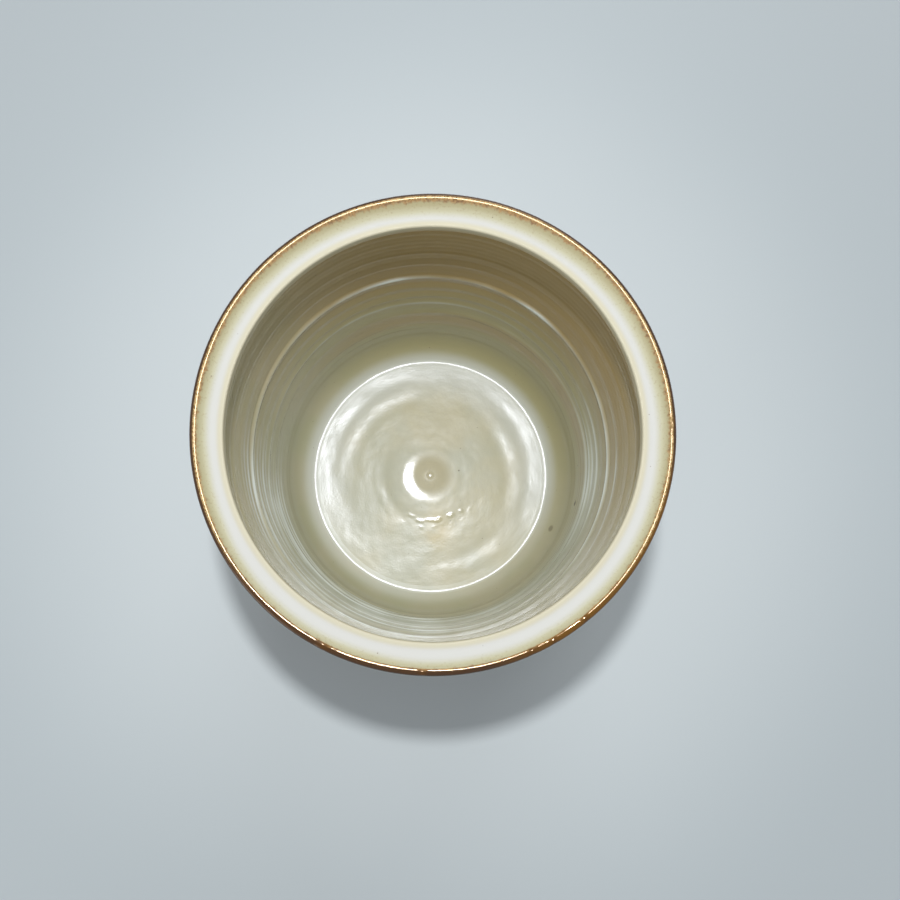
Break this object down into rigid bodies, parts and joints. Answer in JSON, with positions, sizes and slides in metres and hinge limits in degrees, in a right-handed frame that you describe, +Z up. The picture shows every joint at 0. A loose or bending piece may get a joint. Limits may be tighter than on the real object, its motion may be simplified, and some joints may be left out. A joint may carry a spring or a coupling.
{
  "type": "fresh water jar",
  "caption": "Straight-walled open water jar of glazed stoneware: inward lid shelf under the lip, throwing rings inside and a low trimmed foot ring.",
  "frame": {"origin": "centre of the foot ring, on the surface that the jar stands on", "axes": "+Z up along the wheel's axis, through the mouth; the jar is round about Z, so X and Y are free"},
  "size_m": [0.17, 0.17, 0.163],
  "materials": {
    "stoneware": "matt fired clay, buff brown, bare at the heel and foot",
    "cream_glaze": "glossy cream liner glaze, olive beige where it is thin, pale on the shelf",
    "amber_glaze": "glossy dark amber iron glaze, thin and golden over the lip"
  },
  "bodies": {
    "root": {"stoneware_body": "stoneware", "liner_glaze": "cream_glaze", "outer_glaze": "amber_glaze"}
  },
  "joints": []
}
